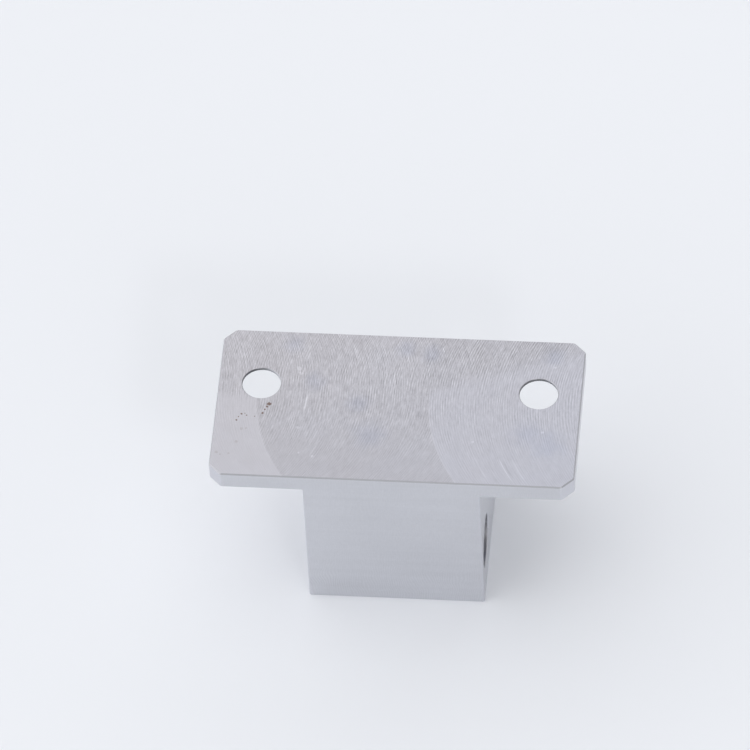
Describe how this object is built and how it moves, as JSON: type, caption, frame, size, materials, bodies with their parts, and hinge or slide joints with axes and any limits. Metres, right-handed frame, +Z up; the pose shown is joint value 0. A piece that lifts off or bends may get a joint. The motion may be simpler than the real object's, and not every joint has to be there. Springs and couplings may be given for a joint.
{
  "type": "machined mounting block",
  "caption": "T-shaped machined aluminium block: a thin rectangular plate with clipped corners and countersunk screw holes in its wings, over a square block crossed by a plain bore.",
  "frame": {"origin": "centre of the block's foot, on the surface it stands on", "axes": "+Z up through the plate, +X along the plate, -Y towards the front face, which the bore lies near"},
  "size_m": [0.06, 0.031, 0.0308],
  "materials": {
    "aluminium": "bare, face milled, satin"
  },
  "bodies": {
    "root": {"bracket": "aluminium"}
  },
  "joints": []
}
